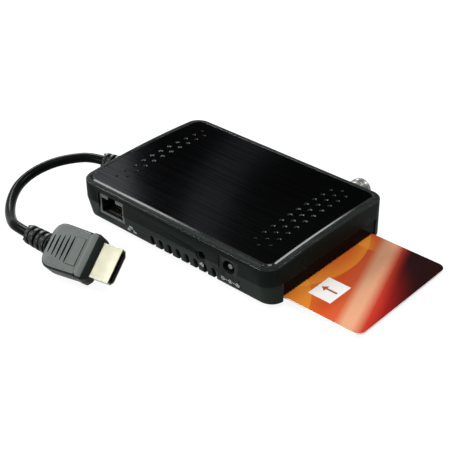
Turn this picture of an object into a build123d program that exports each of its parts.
from build123d import *
import os
from math import cos, sin, sqrt, tan, radians

# Satellite receiver: a small flat set-top box with a brushed top panel, a captive HDMI lead on
# one short side, a card slot in the other, and LAN, infrared and power sockets on a long side.
# Millimetres. X runs along the case towards the card slot, Y across it towards the aerial
# connector, Z up. The origin is the middle of the case's flat underside.

# Case
case_length = 100.0
case_width = 69.0
corner_radius = 6.0
seam_height = 8.8
edge_height = 16.5
crown_rise = 1.3
wall = 1.6
floor_thickness = 1.2
cover_skin = 2.0
long_side_taper = 1.9
cable_side_taper = 0.5
underside_chamfer = 0.7
edge_break = 0.35
lip_height = 1.2
lip_thickness = 0.8
lip_clearance = 0.12
crown_flats = 10
cut_over = 1.0

# Top panel and its vent holes
panel_inset = 2.2
panel_seat = 0.9
panel_rise = 0.5
panel_bevel = 0.8
panel_gap = 0.1
panel_glue = 0.05
vent_pitch = 4.95
vent_row_step = 3.6
vent_hole_max = 1.8
vent_hole_min = 1.1
vent_hole_sides = 8
left_vent_from_end = 11.4
left_vent_counts = (11, 10)
right_vent_from_end = 17.7
right_vent_counts = (10, 11, 10)
vent_window_margin = 2.0

# Slots in the tapered long side
side_vent_count = 8
side_vent_pitch = 4.6
side_vent_from_end = 60.5
side_vent_width = 2.1
side_vent_top = 5.8
side_vent_reach = 4.2

# Rubber feet
foot_radius = 4.0
foot_stand = 1.5
foot_from_end = 13.0
foot_from_side = 12.5
foot_recess = 0.4
foot_gap = 0.1
foot_sides = 20

# Smart card, a standard identity-card blank, and the slot it slides in
card_length = 85.6
card_width = 53.98
card_thickness = 0.76
card_corner = 3.18
card_out = 33.3
card_y = 0.7
card_lift = 0.3
card_headroom = 0.34
card_side_gap = 0.3
slot_side_gap = 0.9
finger_relief = 3.0
chip_length = 13.0
chip_width = 11.8
chip_thickness = 0.25
chip_corner = 1.6
chip_from_end = 15.1
chip_from_middle = 3.1

# Card reader
reader_roof = 0.4
reader_rail = 1.5
reader_stop = 3.0
reader_front_gap = 1.2
contact_rows = 2
contacts_per_row = 4
contact_pitch = 2.54
contact_row_step = 7.62
contact_width = 1.0
contact_sheet = 0.16
contact_reach = 3.2
contact_air = 0.08
contact_window_margin = 1.6

# Dark window in the card side
window_recess = 0.4
window_thickness = 1.6
window_gap = 0.12
window_card_gap = 0.85
window_flange = 1.4
window_flange_reach = 1.0
window_tuck = 1.0

# Circuit board
board_thickness = 1.6
board_gap = 0.5
board_front_gap = 0.4
board_cable_side_gap = 2.3
boss_radius = 2.4
boss_from_end = 6.0
boss_near_card_gap = 0.8
boss_far_card_gap = 0.3
boss_gap = 0.4
post_sides = 8
standoff_radius = 1.9
standoff_from_end = 7.0
standoff_from_far_side = 14.5
near_standoff_from_end = 32.0
near_standoff_from_side = 5.1

# Screws
screw_radius = 1.0
screw_clearance = 0.15
screw_bite = 0.05
screw_head_radius = 1.8
screw_head_height = 1.0
case_screw_length = 10.0
board_screw_length = 3.0

# LAN socket
lan_from_end = 17.5
lan_width = 14.2
lan_height = 9.6
lan_depth = 15.5
lan_setback = 0.7
lan_sheet = 0.3
lan_mouth_width = 11.8
lan_mouth_height = 6.4
lan_mouth_lift = 1.1
lan_notch_width = 4.2
lan_notch_rise = 1.8
lan_cavity_depth = 12.5
lan_contact_count = 8
lan_contact_pitch = 1.02
lan_contact_width = 0.4
lan_contact_rise = 1.4
socket_gap = 0.12

# Infrared extension socket, a 3.5 mm jack
ir_from_end = 34.0
ir_axis_lift = 4.2
ir_body_width = 6.6
ir_body_height = 7.4
ir_body_depth = 11.0
ir_nose_radius = 2.45
ir_nose_setback = 0.7
ir_bore_radius = 1.8
ir_bore_depth = 10.0
ir_contact_width = 0.8

# Power socket
dc_from_end = 20.3
dc_width = 9.2
dc_height = 8.9
dc_depth = 13.0
dc_setback = 0.4
dc_axis_lift = 5.2
dc_mouth_radius = 2.85
dc_mouth_depth = 9.0
mouth_sides = 20
dc_pin_radius = 1.0
pin_sides = 12
dc_pin_length = 8.0
dc_spring_width = 1.8
dc_spring_sheet = 0.25

# Threaded aerial connector on the far long side, 3/8 inch size
aerial_from_end = 18.0
aerial_radius = 4.72
aerial_length = 10.0
aerial_neck_radius = 3.9
aerial_thread_start = 0.3
aerial_hole_gap = 0.15
aerial_bore_radius = 3.4
aerial_bore_depth = 8.5
aerial_contact_radius = 0.6
aerial_face = 0.8
press_gap = 0.05

# Parts on the board
tuner_width = 17.0
tuner_depth = 16.0
tuner_height = 9.0
tuner_sheet = 0.5
main_chip_size = 17.0
main_chip_height = 1.4
main_chip_x = -2.0
main_chip_y = -4.0
heatsink_size = 20.0
heatsink_base = 1.6
heatsink_fin_height = 4.6
heatsink_fin_count = 7
heatsink_fin_thickness = 0.9
memory_length = 12.0
memory_width = 8.0
memory_height = 1.1
memory_x = -4.0
memory_y = 16.0
memory_step = 15.0
capacitor_radius = 3.0
capacitor_height = 7.6
capacitor_step = 7.4
capacitor_from_end = 34.5
capacitor_from_side = 17.5
capacitor_count = 2
inductor_size = 7.0
inductor_height = 4.0
inductor_from_end = 13.5
inductor_from_side = 20.5
receiver_eye_radius = 2.0
receiver_body = 5.0
receiver_body_depth = 2.6
receiver_from_side = 17.5
lamp_radius = 1.5
lamp_height = 3.0
lamp_from_side = 26.5
header_length = 6.0
header_width = 11.0
header_height = 6.6

# Captive lead: its boot in the case wall, its cord and its plug
cord_radius = 2.1
cord_sides = 8
boot_from_side = 27.5
boot_neck_size = 6.2
boot_inner_size = 8.4
boot_inner_length = 1.5
boot_collar_radius = 4.5
boot_collar_length = 2.0
boot_rib_radius = 4.0
boot_rib_taper = 0.1
boot_waist_radius = 3.0
boot_rib_count = 4
boot_rib_width = 1.5
boot_rib_gap = 1.1
boot_sides = 18
boot_flex = 12.0

plug_place = (-11.6, -60.1, 7.1)
plug_heading = 12.0
plug_roll = 37.0
plug_width = 18.6
plug_rear_width = 9.6
plug_thickness = 8.8
plug_length = 21.5
plug_shoulder = 4.2
plug_shoulder_step = 1.6
plug_edge = 1.3
plug_front_slope = 2.0
plug_front_drop = 1.3
plug_collar_at = 4.9
plug_collar_gap = 0.8
plug_collar_depth = 0.55
grip_count = 5
grip_pitch = 2.45
grip_first_x = -18.2
grip_first_length = 7.6
grip_growth = 0.95
grip_width = 0.8
grip_depth = 0.45
label_length = 4.7
label_width = 11.4
label_depth = 0.25
shell_width = 13.9
shell_height = 4.45
shell_length = 8.5
shell_root = 3.0
shell_sheet = 0.4
shell_chamfer_width = 1.65
shell_chamfer_height = 1.9
tongue_slot_width = 11.4
tongue_slot_height = 1.9
tongue_slot_start = 1.6
plug_contact_pitch = 1.0
plug_contact_width = 0.35
plug_contact_sheet = 0.15
plug_contact_length = 5.2
plug_boot_radius = 4.3
plug_boot_waist = 3.0
plug_rib_count = 4
plug_rib_width = 1.9
plug_rib_gap = 1.15
plug_boot_flex = 10.0
cord_first_run = 7.5
cord_last_run = 8.6

# Levels and places that follow from the sizes above
card_bottom = floor_thickness + card_lift
card_top = card_bottom + card_thickness
board_bottom = card_top + card_headroom + reader_roof
board_top = board_bottom + board_thickness
half_length = case_length / 2
half_width = case_width / 2
card_end = half_length + card_out
card_start = card_end - card_length
slot_half = card_width / 2 + slot_side_gap
aerial_z = seam_height
boot_z = seam_height
ir_z = board_top + ir_axis_lift
dc_z = board_top + dc_axis_lift
near_y = -half_width
lan_x = -half_length + lan_from_end
ir_x = half_length - ir_from_end
dc_x = half_length - dc_from_end
aerial_x = half_length - aerial_from_end
left_vent_x = -half_length + left_vent_from_end
right_vent_x = half_length - right_vent_from_end
foot_x = half_length - foot_from_end
foot_y = half_width - foot_from_side
boss_x = half_length - boss_from_end
boss_near_y = card_y - card_width / 2 - boss_near_card_gap - boss_radius
boss_far_y = card_y + card_width / 2 + boss_far_card_gap + boss_radius
standoff_places = (
    (-half_length + standoff_from_end, half_width - standoff_from_far_side),
    (-half_length + near_standoff_from_end, near_y + near_standoff_from_side),
)
inductor_x = half_length - inductor_from_end
inductor_y = near_y + inductor_from_side
receiver_y = near_y + receiver_from_side
lamp_y = near_y + lamp_from_side
boot_y = near_y + boot_from_side
boot_length = boot_collar_length + boot_rib_count * (boot_rib_width + boot_rib_gap)
plug_boot_length = plug_rib_count * (plug_rib_width + plug_rib_gap)

os.makedirs("parts", exist_ok=True)


def block(x_span, y_span, z_span):
    """A box given by its two limits along each axis."""
    size = [high - low for low, high in (x_span, y_span, z_span)]
    middle = [(high + low) / 2 for low, high in (x_span, y_span, z_span)]
    return Pos(*middle) * Box(*size)


def post(x, y, radius, z_low, z_high):
    """An upright cylinder."""
    return Pos(x, y, (z_low + z_high) / 2) * Cylinder(radius, z_high - z_low)


def faceted_post(x, y, radius, sides, z_low, z_high):
    """An upright post or hole with flat sides, for what repeats many times."""
    return Pos(x, y, z_low) * extrude(RegularPolygon(radius, sides), z_high - z_low)


def faceted_bar_x(y, z, radius, sides, x_low, x_high):
    """A bar with flat sides along X."""
    return Pos(x_low, y, z) * extrude(Plane.YZ * RegularPolygon(radius, sides), x_high - x_low)


def faceted_bar_y(x, z, half_width_across, sides, y_low, y_high):
    """A bar with flat sides along Y, one of them to each side, given by its width across."""
    outline = RegularPolygon(half_width_across, sides, major_radius=False, rotation=180 / sides)
    start = Plane(origin=(x, y_low, z), x_dir=(1, 0, 0), z_dir=(0, 1, 0))
    return extrude(start * outline, y_high - y_low)


def bar_y(x, z, radius, y_low, y_high):
    """A cylinder along Y."""
    return Pos(x, (y_low + y_high) / 2, z) * Rot(90, 0, 0) * Cylinder(radius, y_high - y_low)


def rounded_plan(length, width, inset):
    """A rectangle with the case's round corners, for a plan drawn in by an inset."""
    return RectangleRounded(length, width, corner_radius - inset)


def cut_plan(length, width, inset):
    """The same rectangle with its corners cut straight, just inside the round ones."""
    cut = (2 - sqrt(2)) * (corner_radius - inset)
    return chamfer(Rectangle(length, width).vertices(), cut)


def prism(plan_shape, inset, z_low, z_high):
    """The case's plan, drawn in by an inset, between two heights."""
    plan = plan_shape(case_length - 2 * inset, case_width - 2 * inset, inset)
    return Pos(0, 0, z_low) * extrude(plan, z_high - z_low)


def leaning_plan(plan_shape, inset, height):
    """A plan of the lower shell at a height: two of its sides lean in towards the underside."""
    lean = 1 - height / seam_height
    lean_x = cable_side_taper * lean
    lean_y = long_side_taper * lean
    plan = plan_shape(case_length - lean_x - 2 * inset, case_width - lean_y - 2 * inset, inset)
    return Pos(lean_x / 2, lean_y / 2, height) * plan


def leaning_solid(plans):
    """A solid through a stack of plans: its walls are flat, and ruled at round corners."""
    faces = [plans[0].face(), plans[-1].face()]
    for lower, upper in zip(plans, plans[1:]):
        for low, high in zip(lower.edges(), upper.edges()):
            if low.geom_type == GeomType.LINE:
                faces.append(Face(Wire.make_polygon([low @ 0, low @ 1, high @ 1, high @ 0])))
            elif abs(low.radius - high.radius) < edge_break:
                faces.append(Face.extrude(low, high @ 0 - low @ 0))
            else:
                faces.append(Face.make_surface_from_curves(low, high))
    return Solid(Shell(faces))


def arched(offset):
    """All that lies under the crowned top, raised or lowered by an offset.

    The crown is drawn in narrow flats, which lie within 0.02 mm of its arc."""
    side = half_width + cut_over
    points = [(-side, 0)]
    for index in range(crown_flats + 1):
        y = side * (2 * index / crown_flats - 1)
        points.append((y, edge_height + crown_rise * (1 - (y / half_width) ** 2) + offset))
    points.append((side, 0))
    outline = make_face(Polyline(*points, close=True))
    return extrude(Plane.YZ * outline, half_length + cut_over, both=True)


def rim_edges(solid):
    """The outer edges of a solid's crowned top."""
    top = [face for face in solid.faces() if face.normal_at().Z > 0.9]
    edges = [edge for face in top for edge in face.edges()]
    return [edge for edge in edges if sum(edge == other for other in edges) == 1]


def boss_places():
    return [(x, y) for x in (-boss_x, boss_x) for y in (boss_near_y, boss_far_y)]


def corner_bosses(radius, z_low, z_high):
    """Posts at the four case screws."""
    return [faceted_post(x, y, radius, post_sides, z_low, z_high) for x, y in boss_places()]


def side_openings():
    """What both halves of the case leave open for sockets, aerial connector and lead."""
    reach = (near_y - cut_over, near_y + wall + long_side_taper + cut_over)
    lan_half = lan_width / 2 + socket_gap
    dc_half = dc_width / 2 + socket_gap
    neck_half = boot_neck_size / 2 + press_gap
    return [
        block(
            (lan_x - lan_half, lan_x + lan_half),
            reach,
            (board_top - socket_gap, board_top + lan_height + socket_gap),
        ),
        block(
            (dc_x - dc_half, dc_x + dc_half),
            reach,
            (board_top - socket_gap, board_top + dc_height + socket_gap),
        ),
        faceted_bar_y(ir_x, ir_z, ir_nose_radius + socket_gap, mouth_sides, *reach),
        faceted_bar_y(
            aerial_x,
            aerial_z,
            aerial_neck_radius + aerial_hole_gap,
            post_sides,
            half_width - wall - cut_over,
            half_width + cut_over,
        ),
        block(
            (-half_length - cut_over, -half_length + wall + cut_over),
            (boot_y - neck_half, boot_y + neck_half),
            (boot_z - neck_half, boot_z + neck_half),
        ),
    ]


def make_bottom_shell():
    outer = leaning_solid(
        [
            leaning_plan(rounded_plan, underside_chamfer, 0),
            leaning_plan(rounded_plan, 0, underside_chamfer),
            leaning_plan(rounded_plan, 0, seam_height),
        ]
    )
    inner = leaning_solid(
        [leaning_plan(cut_plan, wall, floor_thickness), leaning_plan(cut_plan, wall, seam_height)]
    )
    lip_top = seam_height + lip_height
    lip = prism(cut_plan, wall - lip_thickness, seam_height - wall, lip_top)
    lip -= prism(cut_plan, wall, seam_height - wall - cut_over, lip_top + cut_over)
    boss_room = corner_bosses(boss_radius + lip_clearance, seam_height, lip_top + cut_over)
    shell = outer - inner + lip - boss_room
    shell += corner_bosses(boss_radius, floor_thickness / 2, seam_height)
    for x, y in standoff_places:
        shell += faceted_post(
            x, y, standoff_radius, post_sides, floor_thickness / 2, board_bottom
        )
    shell -= side_openings()
    # The card side is open between its two corner posts, with a finger notch in the floor.
    shell -= block(
        (half_length - finger_relief, half_length + cut_over),
        (card_y - slot_half, card_y + slot_half),
        (-cut_over, lip_top + cut_over),
    )
    slot_radius = side_vent_width / 2
    for index in range(side_vent_count):
        x = half_length - side_vent_from_end + index * side_vent_pitch
        y_span = (near_y - cut_over, near_y + side_vent_reach)
        slot_z = side_vent_top - slot_radius
        shell -= block((x - slot_radius, x + slot_radius), y_span, (-cut_over, slot_z))
        shell -= faceted_bar_y(x, slot_z, slot_radius, post_sides, *y_span)
    for x, y in foot_places():
        shell -= faceted_post(x, y, foot_radius + foot_gap, foot_sides, -cut_over, foot_recess)
    hole = screw_radius + screw_clearance
    shell -= corner_bosses(hole, -cut_over, seam_height + cut_over)
    shell -= corner_bosses(
        screw_head_radius + screw_clearance, -cut_over, screw_seat() + screw_head_height
    )
    for x, y in standoff_places:
        shell -= faceted_post(
            x, y, screw_radius + screw_bite, post_sides, floor_thickness / 2,
            board_bottom + cut_over,
        )
    return shell


def make_top_cover():
    high = edge_height + crown_rise + cut_over
    outer = arched(0) & prism(rounded_plan, 0, seam_height, high)
    outer = chamfer(rim_edges(outer), edge_break)
    cover = outer - (arched(-cover_skin) & prism(cut_plan, wall, seam_height - cut_over, high))
    cover -= prism(rounded_plan, panel_inset - panel_gap, seam_height, high) - arched(-panel_seat)
    cover -= prism(
        cut_plan,
        wall - lip_thickness - lip_clearance,
        seam_height - cut_over,
        seam_height + lip_height + lip_clearance,
    )
    ceiling = arched(-cover_skin / 2)
    cover += [boss & ceiling for boss in corner_bosses(boss_radius, seam_height, edge_height)]
    cover -= side_openings()
    for x, y in vent_windows():
        cover -= block(x, y, (edge_height - cover_skin - cut_over, edge_height + crown_rise))
    pilot_top = screw_seat() + case_screw_length + cut_over / 2
    cover -= corner_bosses(screw_radius + screw_bite, seam_height - cut_over, pilot_top)
    return cover


def vent_rows():
    """Every row of vent holes in the panel, as its place along X and its count."""
    rows = [(left_vent_x + step * vent_row_step, count)
            for step, count in enumerate(left_vent_counts)]
    rows += [(right_vent_x + step * vent_row_step, count)
             for step, count in enumerate(right_vent_counts)]
    return rows


def vent_windows():
    """The openings in the cover's skin under the vent holes, each cut in four by ribs."""
    windows = []
    for first_x, counts in ((left_vent_x, left_vent_counts), (right_vent_x, right_vent_counts)):
        last_x = first_x + (len(counts) - 1) * vent_row_step
        x_span = (first_x - vent_window_margin, last_x + vent_window_margin)
        bay = vent_pitch * max(counts) / 4
        for index in range(4):
            middle = (index - 1.5) * bay
            half = bay / 2 - vent_window_margin / 2
            windows.append((x_span, (middle - half, middle + half)))
    return windows


def make_top_panel():
    high = edge_height + crown_rise + 2 * cut_over
    panel = prism(rounded_plan, panel_inset, seam_height, high)
    panel = (panel & arched(panel_rise)) - arched(panel_glue - panel_seat)
    panel = chamfer(rim_edges(panel), panel_rise, panel_bevel)
    half_span = vent_pitch * (max(left_vent_counts + right_vent_counts) - 1) / 2
    holes = []
    for x, count in vent_rows():
        for index in range(count):
            y = (index - (count - 1) / 2) * vent_pitch
            share = (y / half_span) ** 2
            radius = (vent_hole_max + (vent_hole_min - vent_hole_max) * share) / 2
            holes.append(
                faceted_post(
                    x, y, radius, vent_hole_sides, seam_height, edge_height + crown_rise + cut_over
                )
            )
    return panel - holes


def screw_seat():
    """The level of a case screw's head under the case."""
    return screw_clearance


def screw(x, y, head_low, tip, head_at_top):
    """A screw with its head at the top or at the bottom."""
    low = tip if head_at_top else head_low + screw_head_height
    high = head_low if head_at_top else tip
    head = faceted_post(
        x, y, screw_head_radius, post_sides, head_low, head_low + screw_head_height
    )
    return head + faceted_post(x, y, screw_radius, post_sides, low, high)


def make_case_screws():
    tip = screw_seat() + case_screw_length
    return Compound([screw(x, y, screw_seat(), tip, False) for x, y in boss_places()])


def make_board_screws():
    """Screws that hold the board down on its standoffs."""
    tip = board_top + screw_head_height - board_screw_length
    return Compound([screw(x, y, board_top, tip, True) for x, y in standoff_places])


def foot_places():
    return [(x, y) for x in (-foot_x, foot_x) for y in (-foot_y, foot_y)]


def make_rubber_feet():
    return Compound(
        [
            faceted_post(x, y, foot_radius, foot_sides, -foot_stand, foot_recess)
            for x, y in foot_places()
        ]
    )


def make_front_window():
    front = half_length - window_recess
    back = front - window_thickness
    half = slot_half - window_gap
    low = card_top + window_card_gap
    plate = block((back, front), (card_y - half, card_y + half), (low, seam_height - window_gap))
    inside = half_length - wall - window_gap
    wide = slot_half + window_flange_reach
    flange = block(
        (inside - window_flange, inside),
        (card_y - wide, card_y + wide),
        (low, seam_height + window_tuck),
    )
    return plate + flange


def board_front():
    """The board's edge behind the window's flange."""
    return half_length - wall - window_gap - window_flange - board_front_gap


def make_main_board():
    x_span = (-half_length + wall + board_cable_side_gap, board_front())
    lean = long_side_taper * (1 - board_bottom / seam_height)
    y_span = (near_y + lean + wall + board_gap, half_width - wall - board_gap)
    board = block(x_span, y_span, (board_bottom, board_top))
    room = boss_radius + boss_gap
    for x, y in boss_places():
        side_x = 1 if x > 0 else -1
        side_y = 1 if y > 0 else -1
        board -= block(
            sorted((x - room * side_x, side_x * half_length)),
            sorted((y - room * side_y, side_y * half_width)),
            (board_bottom - cut_over, board_top + cut_over),
        )
    for x, y in standoff_places:
        board -= faceted_post(
            x, y, screw_radius + screw_clearance, post_sides, board_bottom - cut_over,
            board_top + cut_over,
        )
    return board


def chip_centre():
    """The middle of the card's contact pad."""
    return card_start + chip_from_end, card_y + chip_from_middle


def contact_window():
    """The opening in the reader's roof over the card's contact pad."""
    x, y = chip_centre()
    half_x = contact_row_step / 2 + contact_reach + contact_window_margin
    half_y = contact_pitch * contacts_per_row / 2 + contact_window_margin
    return (x - half_x, x + half_x), (y - half_y, y + half_y)


def make_card_reader():
    inner = card_width / 2 + card_side_gap
    outer = inner + reader_rail
    back = card_start - card_side_gap
    front = board_front() - reader_front_gap
    frame = block(
        (back - reader_stop, front), (card_y - outer, card_y + outer), (floor_thickness, board_bottom)
    )
    frame -= block(
        (back, front + cut_over),
        (card_y - inner, card_y + inner),
        (floor_thickness - cut_over, board_bottom - reader_roof),
    )
    window_x, window_y = contact_window()
    frame -= block(window_x, window_y, (floor_thickness, board_bottom + cut_over))
    for room in corner_bosses(boss_radius + boss_gap, 0, board_bottom + cut_over):
        frame -= room
    return frame


def make_card_contacts():
    """Sprung fingers that hang from the board and reach down to the card's contact pad."""
    chip_x, chip_y = chip_centre()
    nose = card_top + contact_air
    foot = board_bottom
    fingers = []
    for row in range(contact_rows):
        outward = 1 if row else -1
        pad_x = chip_x + outward * contact_row_step / 2
        root_x = pad_x + outward * contact_reach
        foot_x_end = root_x + outward * contact_width
        profile = make_face(
            Polyline(
                (foot_x_end, foot),
                (root_x, foot),
                (pad_x, nose + contact_sheet),
                (pad_x, nose),
                (root_x, foot - contact_sheet),
                (foot_x_end, foot - contact_sheet),
                close=True,
            )
        )
        for index in range(contacts_per_row):
            y = chip_y + (index - (contacts_per_row - 1) / 2) * contact_pitch
            finger = extrude(Plane.XZ * profile, contact_width / 2, both=True)
            fingers.append(Pos(0, y, 0) * finger)
    return Compound(fingers)


def make_smart_card():
    card = extrude(RectangleRounded(card_length, card_width, card_corner), card_thickness)
    card = Pos(card_end - card_length / 2, card_y, card_bottom) * card
    return card - make_card_chip()


def make_card_chip():
    x, y = chip_centre()
    plan = chamfer(Rectangle(chip_length, chip_width).vertices(), chip_corner)
    return Pos(x, y, card_top - chip_thickness) * extrude(plan, chip_thickness)


def socket_mouth(x, front, depth):
    """The space of a LAN plug: its body and the notch for its latch."""
    low = board_top + lan_mouth_lift
    high = low + lan_mouth_height
    half = lan_mouth_width / 2
    notch = lan_notch_width / 2
    return block((x - half, x + half), (front - cut_over, front + depth), (low, high)) + block(
        (x - notch, x + notch), (front - cut_over, front + depth), (low, high + lan_notch_rise)
    )


def lan_front():
    return near_y + lan_setback


def make_lan_shield():
    front = lan_front()
    half = lan_width / 2
    top = board_top + lan_height
    can = block((lan_x - half, lan_x + half), (front, front + lan_depth), (board_top, top))
    can -= block(
        (lan_x - half + lan_sheet, lan_x + half - lan_sheet),
        (front + lan_sheet, front + lan_depth + cut_over),
        (board_top - cut_over, top - lan_sheet),
    )
    return can - socket_mouth(lan_x, front, lan_sheet + cut_over / 2)


def make_lan_insert():
    front = lan_front() + lan_sheet
    half = lan_width / 2 - lan_sheet - press_gap
    body = block(
        (lan_x - half, lan_x + half),
        (front, front + lan_depth - lan_sheet),
        (board_top, board_top + lan_height - lan_sheet - press_gap),
    )
    return body - socket_mouth(lan_x, front, lan_cavity_depth)


def make_lan_contacts():
    """Eight wires that rise from the floor of the socket towards its back."""
    floor = board_top + lan_mouth_lift
    start = lan_front() + lan_sheet + wall
    end = lan_front() + lan_sheet + lan_cavity_depth
    profile = make_face(
        Polyline(
            (start, floor),
            (end, floor),
            (end, floor + lan_contact_rise),
            (start + wall, floor + lan_contact_width),
            (start, floor + lan_contact_width),
            close=True,
        )
    )
    wires = []
    for index in range(lan_contact_count):
        x = lan_x + (index - (lan_contact_count - 1) / 2) * lan_contact_pitch
        wire = extrude(Plane.YZ * profile, lan_contact_width / 2, both=True)
        wires.append(Pos(x, 0, 0) * wire)
    return Compound(wires)


def ir_body_front():
    """The jack's body sits behind the wall, where the lower wall leans in the most."""
    lean = long_side_taper * (1 - board_top / seam_height)
    return near_y + wall + lean + socket_gap


def make_ir_jack():
    front = ir_body_front()
    half = ir_body_width / 2
    body = block(
        (ir_x - half, ir_x + half),
        (front, front + ir_body_depth),
        (board_top, board_top + ir_body_height),
    )
    mouth = near_y + ir_nose_setback
    body += bar_y(ir_x, ir_z, ir_nose_radius, mouth, front + socket_gap)
    body -= bar_y(ir_x, ir_z, ir_bore_radius, mouth - cut_over, mouth + ir_bore_depth)
    return body - ir_contact_room(0)


def ir_contact_room(shrink):
    """The pocket in the roof of the jack that holds its sprung contact."""
    half = ir_contact_width / 2 - shrink
    low = ir_z + ir_bore_radius + press_gap + shrink
    back = near_y + ir_nose_setback + ir_bore_depth
    return block(
        (ir_x - half, ir_x + half),
        (ir_body_front() + wall + shrink, back - shrink),
        (low, board_top + ir_body_height + (0 if shrink else cut_over)),
    )


def make_ir_jack_contact():
    return ir_contact_room(press_gap)


def dc_front():
    return near_y + dc_setback


def make_dc_jack():
    half = dc_width / 2
    front = dc_front()
    body = block(
        (dc_x - half, dc_x + half),
        (front, front + dc_depth),
        (board_top, board_top + dc_height),
    )
    body -= faceted_bar_y(
        dc_x, dc_z, dc_mouth_radius, mouth_sides, front - cut_over, front + dc_mouth_depth
    )
    body -= faceted_bar_y(
        dc_x,
        dc_z,
        dc_pin_radius + press_gap,
        pin_sides,
        front + dc_mouth_depth - cut_over,
        front + dc_depth + cut_over,
    )
    return body - dc_spring_slot(press_gap)


def dc_spring_slot(grow):
    """The side pocket of the power socket in which its leaf contact lies."""
    side = dc_x - dc_mouth_radius
    half = dc_spring_width / 2 + grow
    return block(
        (side - dc_spring_sheet - grow, side + dc_spring_sheet),
        (dc_front() + wall / 2 - grow, dc_front() + dc_mouth_depth),
        (dc_z - half, dc_z + half),
    )


def make_dc_jack_spring():
    return dc_spring_slot(0)


def make_dc_jack_pin():
    tip = dc_front() + dc_mouth_depth - dc_pin_length
    return faceted_bar_y(dc_x, dc_z, dc_pin_radius, pin_sides, tip, dc_front() + dc_depth)


def aerial_mouth():
    return half_width + aerial_length


def make_aerial_barrel():
    thread_start = half_width + aerial_thread_start
    barrel = bar_y(aerial_x, aerial_z, aerial_radius, thread_start, aerial_mouth())
    barrel += faceted_bar_y(
        aerial_x,
        aerial_z,
        aerial_neck_radius,
        post_sides,
        tuner_back(),
        thread_start + press_gap,
    )
    start = aerial_mouth() - aerial_bore_depth
    return barrel - bar_y(aerial_x, aerial_z, aerial_bore_radius, start, aerial_mouth() + cut_over)


def make_aerial_insulator():
    start = aerial_mouth() - aerial_bore_depth
    end = aerial_mouth() - aerial_face
    disc = bar_y(aerial_x, aerial_z, aerial_bore_radius - press_gap, start, end)
    hole = aerial_contact_radius + press_gap
    return disc - faceted_bar_y(
        aerial_x, aerial_z, hole, post_sides, start - cut_over, end + cut_over
    )


def make_aerial_contact():
    start = aerial_mouth() - aerial_bore_depth
    end = aerial_mouth() - 2 * aerial_face
    return faceted_bar_y(aerial_x, aerial_z, aerial_contact_radius, post_sides, start, end)


def tuner_back():
    """The face of the tuner can that carries the aerial connector's neck."""
    return half_width - wall - board_gap - cover_skin


def make_tuner_can():
    """A folded sheet can, open towards the board."""
    half = tuner_width / 2
    back = tuner_back()
    x_span = (aerial_x - half, aerial_x + half)
    can = block(x_span, (back - tuner_depth, back), (board_top, board_top + tuner_height))
    can -= block(
        (x_span[0] + tuner_sheet, x_span[1] - tuner_sheet),
        (back - tuner_depth + tuner_sheet, back - tuner_sheet),
        (board_top - cut_over, board_top + tuner_height - tuner_sheet),
    )
    return can


def on_board(x, y, length, width, height, base=0):
    """A block that stands on the board, or a given height above it."""
    return block(
        (x - length / 2, x + length / 2),
        (y - width / 2, y + width / 2),
        (board_top + base, board_top + base + height),
    )


def make_main_chip():
    return on_board(main_chip_x, main_chip_y, main_chip_size, main_chip_size, main_chip_height)


def make_heatsink():
    sink = on_board(
        main_chip_x, main_chip_y, heatsink_size, heatsink_size, heatsink_base, main_chip_height
    )
    step = (heatsink_size - heatsink_fin_thickness) / (heatsink_fin_count - 1)
    for index in range(heatsink_fin_count):
        x = main_chip_x - heatsink_size / 2 + heatsink_fin_thickness / 2 + index * step
        sink += on_board(
            x,
            main_chip_y,
            heatsink_fin_thickness,
            heatsink_size,
            heatsink_fin_height,
            main_chip_height + heatsink_base,
        )
    return sink


def make_memory_chips():
    return Compound(
        [
            on_board(memory_x + side * memory_step / 2, memory_y, memory_length, memory_width,
                     memory_height)
            for side in (-1, 1)
        ]
    )


def make_capacitors():
    return Compound(
        [
            faceted_post(
                half_length - capacitor_from_end,
                near_y + capacitor_from_side + index * capacitor_step,
                capacitor_radius,
                foot_sides,
                board_top,
                board_top + capacitor_height,
            )
            for index in range(capacitor_count)
        ]
    )


def make_power_coil():
    coil = on_board(inductor_x, inductor_y, inductor_size, inductor_size, inductor_height)
    return chamfer(coil.edges().filter_by(Axis.Z), inductor_size / 5)


def make_ir_receiver():
    """The remote-control eye behind the dark window: a block with a half-round lens."""
    back = board_front() - receiver_body_depth - receiver_eye_radius
    front = back + receiver_body_depth
    half = receiver_body / 2
    body = block(
        (back, front),
        (receiver_y - half, receiver_y + half),
        (board_top, board_top + receiver_body),
    )
    lens = post(front, receiver_y, receiver_eye_radius, board_top, board_top + receiver_body)
    return body + lens


def make_status_lamp():
    x = board_front() - lamp_radius - board_gap
    return faceted_post(x, lamp_y, lamp_radius, post_sides, board_top, board_top + lamp_height)


def header_x():
    """The end of the board connector that faces the lead."""
    return -half_length + wall + board_cable_side_gap + header_length / 2


def make_cable_header():
    return on_board(header_x() + header_length / 2, boot_y, header_length, header_width,
                    header_height)


def boot_inner_start():
    """The boot's inner flange clears the lower wall, which leans in below the seam."""
    return -half_length + wall + cable_side_taper + press_gap


def boot_inner_end():
    return boot_inner_start() + boot_inner_length


def make_cable_tail():
    """The short end of the lead between its boot and the connector on the board."""
    return faceted_bar_x(boot_y, boot_z, cord_radius, cord_sides, boot_inner_end(), header_x())


def ribs(start, count, width, radius, gap, waist, taper):
    """A ribbed sleeve along X, from the thicker end at the start back towards minus X."""
    sleeve = faceted_bar_x(0, 0, waist, boot_sides, start - count * (width + gap), start)
    for index in range(count):
        high = start - index * (width + gap)
        sleeve += faceted_bar_x(0, 0, radius - index * taper, boot_sides, high - width, high)
    return sleeve


def boot_location():
    """The flexed outer part of the boot, bent with the cord where it leaves the case."""
    return Pos(-half_length, boot_y, boot_z) * Rot(0, 0, boot_flex)


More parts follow.
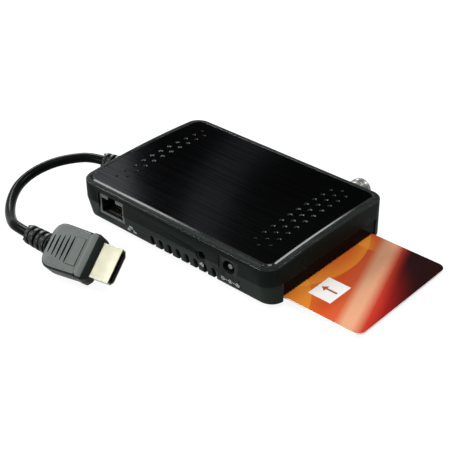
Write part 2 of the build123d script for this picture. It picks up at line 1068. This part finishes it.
def boot_tip():
    """Where the cord leaves the boot, and which way."""
    reach = boot_length
    bend = radians(boot_flex)
    tip = (-half_length - reach * cos(bend), boot_y - reach * sin(bend), boot_z)
    return tip, (-cos(bend), -sin(bend), 0)


def square_bar(size, x_low, x_high):
    """A square piece of the boot inside the case wall."""
    half = size / 2
    return block((x_low, x_high), (boot_y - half, boot_y + half), (boot_z - half, boot_z + half))


def make_cable_boot():
    inside = boot_inner_start()
    boot = square_bar(boot_inner_size, inside, boot_inner_end())
    boot += square_bar(boot_neck_size, -half_length - boot_collar_length / 2, inside)
    collar = faceted_bar_x(0, 0, boot_collar_radius, boot_sides, -boot_collar_length, 0)
    sleeve = ribs(
        -boot_collar_length,
        boot_rib_count,
        boot_rib_width,
        boot_rib_radius,
        boot_rib_gap,
        boot_waist_radius,
        boot_rib_taper,
    )
    flexed = boot_location() * (collar + sleeve)
    # The tilted collar is trimmed flat where it meets the case.
    room = half_length + boot_length
    flexed &= block(
        (-half_length - 2 * room, -half_length),
        (boot_y - room, boot_y + room),
        (boot_z - room, boot_z + room),
    )
    return boot + flexed


def plug_axes():
    """The plug's forward, sideways and upward directions as it lies rolled on its edge."""
    heading = radians(plug_heading)
    roll = radians(plug_roll)
    forward = (cos(heading), sin(heading), 0)
    upward = (sin(roll) * sin(heading), -sin(roll) * cos(heading), cos(roll))
    return forward, upward


def plug_location():
    forward, upward = plug_axes()
    return Plane(origin=plug_place, x_dir=forward, z_dir=upward).location


def plug_point(along):
    """A point on the plug's axis, counted from its front face."""
    forward, _ = plug_axes()
    return tuple(place + along * way for place, way in zip(plug_place, forward))


def shell_outline(inset):
    """The plug's metal mouth: a wide rectangle with its two lower corners cut off."""
    half = shell_width / 2 - inset
    top = shell_height / 2 - inset
    side_low = -shell_height / 2 + shell_chamfer_height
    bottom_half = shell_width / 2 - shell_chamfer_width - inset
    return make_face(
        Polyline(
            (-half, top),
            (half, top),
            (half, side_low),
            (bottom_half, -top),
            (-bottom_half, -top),
            (-half, side_low),
            close=True,
        )
    )


def shell_prism(inset, x_low, x_high):
    return Pos(x_low, 0, 0) * extrude(Plane.YZ * shell_outline(inset), x_high - x_low)


def make_plug_body():
    half = plug_width / 2
    rear_half = plug_rear_width / 2
    shoulder_x = -plug_length + plug_shoulder
    bend_x = -plug_length + plug_shoulder_step / 2
    bend_half = half - plug_shoulder_step
    outline = make_face(
        Polyline(
            (0, half),
            (shoulder_x, half),
            (bend_x, bend_half),
            (-plug_length, rear_half),
            (-plug_length, -rear_half),
            (bend_x, -bend_half),
            (shoulder_x, -half),
            (0, -half),
            close=True,
        )
    )
    body = extrude(outline, plug_thickness / 2, both=True)
    front_edges = body.faces().sort_by(Axis.X)[-1].edges()
    body = chamfer(front_edges, plug_front_drop, plug_front_slope)
    flat_faces = body.faces().filter_by(Axis.Z)
    rims = [edge for face in flat_faces for edge in face.edges()
            if edge.center().X < -plug_front_slope - press_gap]
    body = fillet(rims, plug_edge)
    # A shallow groove runs round the body behind its front collar.
    groove_x = (-plug_collar_at - plug_collar_gap / 2, -plug_collar_at + plug_collar_gap / 2)
    wide = half + cut_over
    thick = plug_thickness / 2 + cut_over
    groove = block(groove_x, (-wide, wide), (-thick, thick))
    core_y = half - plug_collar_depth
    core_z = plug_thickness / 2 - plug_collar_depth
    groove -= block(groove_x, (-core_y, core_y), (-core_z, core_z))
    for side in (-1, 1):
        body -= groove & block(
            groove_x, (min(0, side * wide), max(0, side * wide)), (-thick, thick)
        ) & block(
            groove_x,
            sorted((side * (half - 2 * plug_edge), side * wide)),
            (-thick, thick),
        )
    for side in (-1, 1):
        face_z = side * plug_thickness / 2
        for index in range(grip_count):
            x = grip_first_x + index * grip_pitch
            length = grip_first_length + index * grip_growth
            body -= Pos(x, 0, face_z) * Box(grip_width, length, 2 * grip_depth)
        label_x = grip_first_x + grip_count * grip_pitch + label_length / 2 - grip_width
        body -= Pos(label_x, 0, face_z) * Box(label_length, label_width, 2 * label_depth)
    body -= shell_prism(-press_gap, -shell_root, cut_over)
    return plug_location() * body


def make_plug_shell():
    shell = shell_prism(0, -shell_root, shell_length)
    shell -= shell_prism(shell_sheet, -shell_root - cut_over, shell_length + cut_over)
    return plug_location() * shell


def make_plug_insert():
    """The moulded liner of the plug's mouth, with the slot that takes the socket's tongue."""
    liner = shell_prism(shell_sheet + press_gap, -shell_root, shell_length - shell_sheet)
    half = tongue_slot_width / 2
    slot = block(
        (tongue_slot_start, shell_length + cut_over),
        (-half, half),
        (-tongue_slot_height / 2, tongue_slot_height / 2),
    )
    return plug_location() * (liner - slot)


def make_plug_contacts():
    contacts = []
    start = tongue_slot_start
    for side, count in ((1, 10), (-1, 9)):
        z = side * (tongue_slot_height - plug_contact_sheet) / 2
        for index in range(count):
            y = (index - (count - 1) / 2) * plug_contact_pitch
            contacts.append(
                block(
                    (start, start + plug_contact_length),
                    (y - plug_contact_width / 2, y + plug_contact_width / 2),
                    (z - plug_contact_sheet / 2, z + plug_contact_sheet / 2),
                )
            )
    return plug_location() * Compound(contacts)


def plug_boot_way():
    """The way along the flexed boot of the plug, towards the plug."""
    turn = radians(plug_heading - plug_boot_flex)
    return cos(turn), sin(turn), 0


def plug_boot_tip():
    """Where the cord enters the boot of the plug."""
    return tuple(
        place - plug_boot_length * step
        for place, step in zip(plug_point(-plug_length), plug_boot_way())
    )


def make_plug_boot():
    sleeve = ribs(
        0,
        plug_rib_count,
        plug_rib_width,
        plug_boot_radius,
        plug_rib_gap,
        plug_boot_waist,
        boot_rib_taper,
    )
    sleeve += faceted_bar_x(0, 0, plug_boot_radius, boot_sides, -plug_rib_width / 2,
                            plug_rib_width / 2)
    place = Pos(*plug_point(-plug_length)) * Rot(0, 0, plug_heading - plug_boot_flex)
    reach = 2 * plug_boot_length
    behind = block((-plug_length - reach, -plug_length), (-reach, reach), (-reach, reach))
    return (place * sleeve) & (plug_location() * behind)


def cord_route():
    """The lead's route, chosen by hand from the boot in the case to the boot of the plug."""
    start, way = boot_tip()
    end = plug_boot_tip()
    end_way = plug_boot_way()
    return [
        start,
        tuple(place + cord_first_run * step for place, step in zip(start, way)),
        (-75.3, -16.2, 8.3),
        (-80.6, -23.2, 7.2),
        (-83.0, -32.3, 5.8),
        (-81.6, -41.7, 4.4),
        (-76.4, -49.7, 3.4),
        (-69.6, -56.2, 3.2),
        (-61.6, -61.4, 4.4),
        tuple(place - cord_last_run * step for place, step in zip(end, end_way)),
        end,
    ]


def make_hdmi_cable():
    points = [Vector(*point) for point in cord_route()]
    radii = []
    for before, corner, after in zip(points, points[1:], points[2:]):
        arriving = corner - before
        leaving = after - corner
        half_turn = radians(arriving.get_angle(leaving) / 2)
        radii.append(0.45 * min(arriving.length, leaving.length) / tan(half_turn))
    path = FilletPolyline(*points, radius=radii)
    start = Plane(origin=points[0], z_dir=points[1] - points[0])
    section = start * RegularPolygon(cord_radius, cord_sides)
    cord = sweep(section, path=path)
    print("cord radii", [round(radius, 1) for radius in radii])
    print("cord length", round(path.length, 2), "volume", round(cord.volume, 2),
          "section times length", round(section.area * path.length, 2))
    return cord


makers = {
    "bottom_shell": make_bottom_shell,
    "top_cover": make_top_cover,
    "top_panel": make_top_panel,
    "front_window": make_front_window,
    "rubber_feet": make_rubber_feet,
    "case_screws": make_case_screws,
    "board_screws": make_board_screws,
    "main_board": make_main_board,
    "card_reader": make_card_reader,
    "card_contacts": make_card_contacts,
    "smart_card": make_smart_card,
    "card_chip": make_card_chip,
    "lan_shield": make_lan_shield,
    "lan_insert": make_lan_insert,
    "lan_contacts": make_lan_contacts,
    "ir_jack": make_ir_jack,
    "ir_jack_contact": make_ir_jack_contact,
    "dc_jack": make_dc_jack,
    "dc_jack_pin": make_dc_jack_pin,
    "dc_jack_spring": make_dc_jack_spring,
    "aerial_barrel": make_aerial_barrel,
    "aerial_insulator": make_aerial_insulator,
    "aerial_contact": make_aerial_contact,
    "tuner_can": make_tuner_can,
    "main_chip": make_main_chip,
    "heatsink": make_heatsink,
    "memory_chips": make_memory_chips,
    "capacitors": make_capacitors,
    "power_coil": make_power_coil,
    "ir_receiver": make_ir_receiver,
    "status_lamp": make_status_lamp,
    "cable_header": make_cable_header,
    "cable_tail": make_cable_tail,
    "cable_boot": make_cable_boot,
    "hdmi_cable": make_hdmi_cable,
    "plug_boot": make_plug_boot,
    "plug_body": make_plug_body,
    "plug_shell": make_plug_shell,
    "plug_insert": make_plug_insert,
    "plug_contacts": make_plug_contacts,
}

for name, make in makers.items():
    export_step(make(), f"parts/{name}.step")
